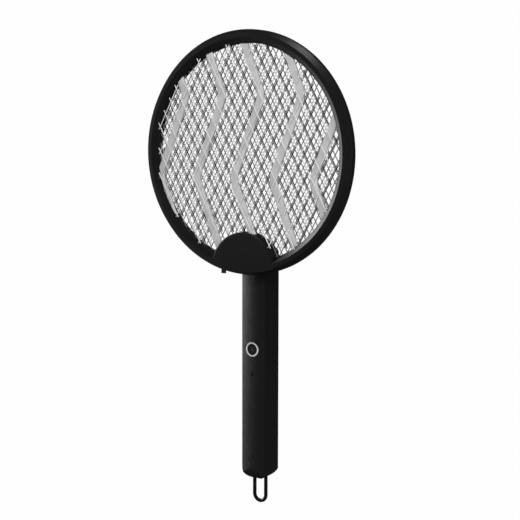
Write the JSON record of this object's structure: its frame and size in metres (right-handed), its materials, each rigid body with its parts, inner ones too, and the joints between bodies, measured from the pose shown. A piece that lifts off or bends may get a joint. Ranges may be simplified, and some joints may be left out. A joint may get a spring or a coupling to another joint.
{
  "type": "electric fly swatter",
  "caption": "Hand-held electric fly swatter: round framed wire grid on a swivel that folds over a slim straight handle with a button and a hanging loop.",
  "frame": {"origin": "middle of the grip, on the handle casing's centre line", "axes": "+Z along the handle towards the head, -Y out of the front where the button is, +X to the right seen from the front"},
  "size_m": [0.23, 0.048, 0.461],
  "materials": {
    "head_plastic": "smooth moulded black",
    "inner_plastic": "moulded black",
    "guard_wire": "drawn steel wire, satin",
    "rear_wire": "drawn steel wire, satin",
    "electrode_wire": "drawn steel wire, satin",
    "rib_metal": "satin grey",
    "dark_steel": "blackened steel",
    "bright_steel": "plain steel",
    "contact_steel": "satin",
    "lead_red": "insulated lead",
    "latch_plastic": "moulded black",
    "grained_plastic": "fine moulded grain",
    "smooth_plastic": "smooth moulded black",
    "bezel_silver": "satin silver",
    "button_black": "smooth black",
    "switch_black": "moulded black",
    "board_green": "solder mask",
    "led_white": "cast resin",
    "light_pipe": "smoked clear plastic",
    "lens_black": "smoked clear plastic",
    "coil_yellow": "wound coil and tape",
    "capacitor_brown": "dipped film capacitor",
    "diode_black": "moulded diode",
    "resistor_tan": "lacquered resistor",
    "cell_blue": "shrink-wrapped cell",
    "loop_black": "polished black"
  },
  "bodies": {
    "handle": {"front_cover": "grained_plastic", "rear_casing": "smooth_plastic", "casing_screws": "dark_steel", "swivel_collar": "inner_plastic", "button_bezel": "bezel_silver", "tact_switch": "switch_black", "circuit_board": "board_green", "status_led": "led_white", "status_light_pipe": "light_pipe", "charge_lens": "lens_black", "charge_port": "bright_steel", "step_up_transformer": "coil_yellow", "storage_capacitor": "capacitor_brown", "voltage_diodes": "diode_black", "discharge_resistor": "resistor_tan", "battery_cell": "cell_blue", "battery_tabs": "bright_steel", "battery_leads": "lead_red", "high_voltage_leads": "lead_red", "loop_guide": "inner_plastic"},
    "head": {"front_ring": "head_plastic", "rear_ring": "head_plastic", "grid_carrier": "inner_plastic", "front_guard": "guard_wire", "rear_guard": "rear_wire", "electrode_grid": "electrode_wire", "zigzag_ribs": "rib_metal", "ring_screws": "dark_steel", "swivel_stud": "bright_steel", "stud_screws": "dark_steel", "wave_washer": "bright_steel", "retaining_ring": "dark_steel", "electrode_terminal": "contact_steel", "guard_terminal": "contact_steel", "head_leads": "lead_red", "latch_spring": "bright_steel"},
    "latch": {"fold_latch": "latch_plastic"},
    "button": {"power_button": "button_black"},
    "loop": {"hang_loop": "loop_black"}
  },
  "joints": [
    {"name": "head_swivel", "type": "hinge", "parent": "handle", "child": "head", "pos_m": [0, 0, 0.105], "axis": [0, 1, 0], "range_deg": [0, 180]},
    {"name": "button_press", "type": "slide", "parent": "handle", "child": "button", "axis": [0, 1, 0], "range_m": [0, 0.0008], "stiffness_N_per_m": 1500, "springref_m": -0.0004},
    {"name": "loop_slide", "type": "slide", "parent": "handle", "child": "loop", "axis": [0, 0, 1], "range_m": [0, 0.014]},
    {"name": "latch_press", "type": "slide", "parent": "head", "child": "latch", "axis": [0, 0, 1], "range_m": [0, 0.002], "stiffness_N_per_m": 600, "springref_m": -0.001, "deforming": ["latch_spring"]}
  ]
}
